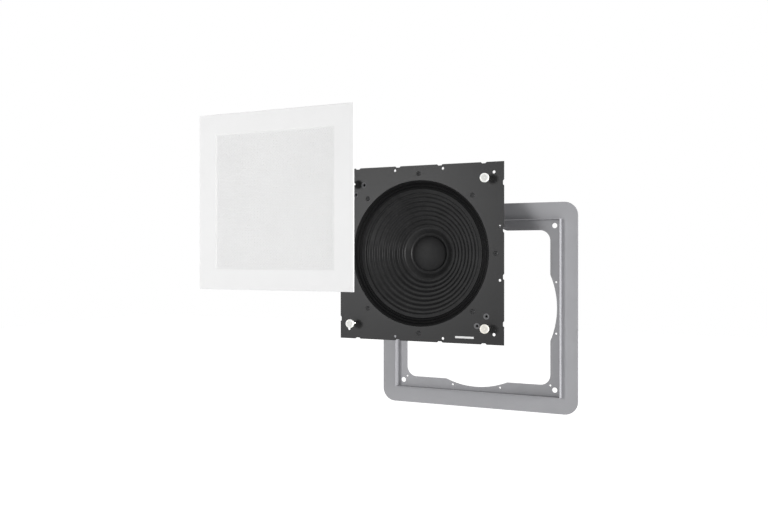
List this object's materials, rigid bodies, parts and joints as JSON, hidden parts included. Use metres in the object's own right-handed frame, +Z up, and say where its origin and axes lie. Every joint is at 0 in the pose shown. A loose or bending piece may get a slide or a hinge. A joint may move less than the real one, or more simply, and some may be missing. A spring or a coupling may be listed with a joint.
{
  "type": "in wall speaker",
  "caption": "Square flush wall woofer taken apart: white grille, driver plate with ribbed cone, and the grey frame fixed in the wall.",
  "frame": {"origin": "centre of the wall frame's inner ledge, on the ledge's back face", "axes": "+X right as seen from the room, +Z up, +Y into the wall; the front faces -Y"},
  "size_m": [0.6047, 0.238, 0.5122],
  "materials": {
    "grille_white": "matt white powder coat",
    "scrim": "fine white acoustic cloth",
    "plate_black": "fine-textured black powder coat",
    "magnet_ivory": "satin ivory plastic shell",
    "bright_steel": "zinc plated",
    "gasket_foam": "matt black foam",
    "screw_black": "blackened steel",
    "basket_black": "satin black enamel",
    "surround_rubber": "satin treated cloth and rubber",
    "cone_pulp": "coated black paper pulp",
    "former_film": "amber film",
    "copper_wire": "enamelled copper",
    "spider_cloth": "resin treated cotton",
    "zinc_steel": "zinc plated, fine turning marks",
    "ferrite": "dark ground ferrite",
    "board_brown": "brown fibre board",
    "tin": "tinned",
    "lead_braid": "braided tinsel",
    "frame_grey": "satin grey powder coat"
  },
  "bodies": {
    "chassis": {"grille_frame": "grille_white", "perforated_sheet": "grille_white", "scrim_cloth": "scrim", "baffle_plate": "plate_black", "magnet_discs": "magnet_ivory", "magnet_posts": "bright_steel", "post_nuts": "bright_steel", "press_nuts": "screw_black", "gasket": "gasket_foam", "basket_screws": "screw_black", "basket": "basket_black", "surround": "surround_rubber", "spider": "spider_cloth", "top_plate": "zinc_steel", "ring_magnet": "ferrite", "pole_piece": "zinc_steel", "terminal_board": "board_brown", "board_rivets": "bright_steel", "terminal_tabs": "tin", "tinsel_leads": "lead_braid", "wall_frame": "frame_grey"},
    "moving_cone": {"cone": "cone_pulp", "dust_cap": "cone_pulp", "coil_former": "former_film", "coil_winding": "copper_wire"}
  },
  "joints": [
    {"name": "cone_travel", "type": "slide", "parent": "chassis", "child": "moving_cone", "axis": [0, -1, 0], "range_m": [-0.004, 0.004], "stiffness_N_per_m": 2500, "deforming": ["surround", "spider", "tinsel_leads"]}
  ]
}
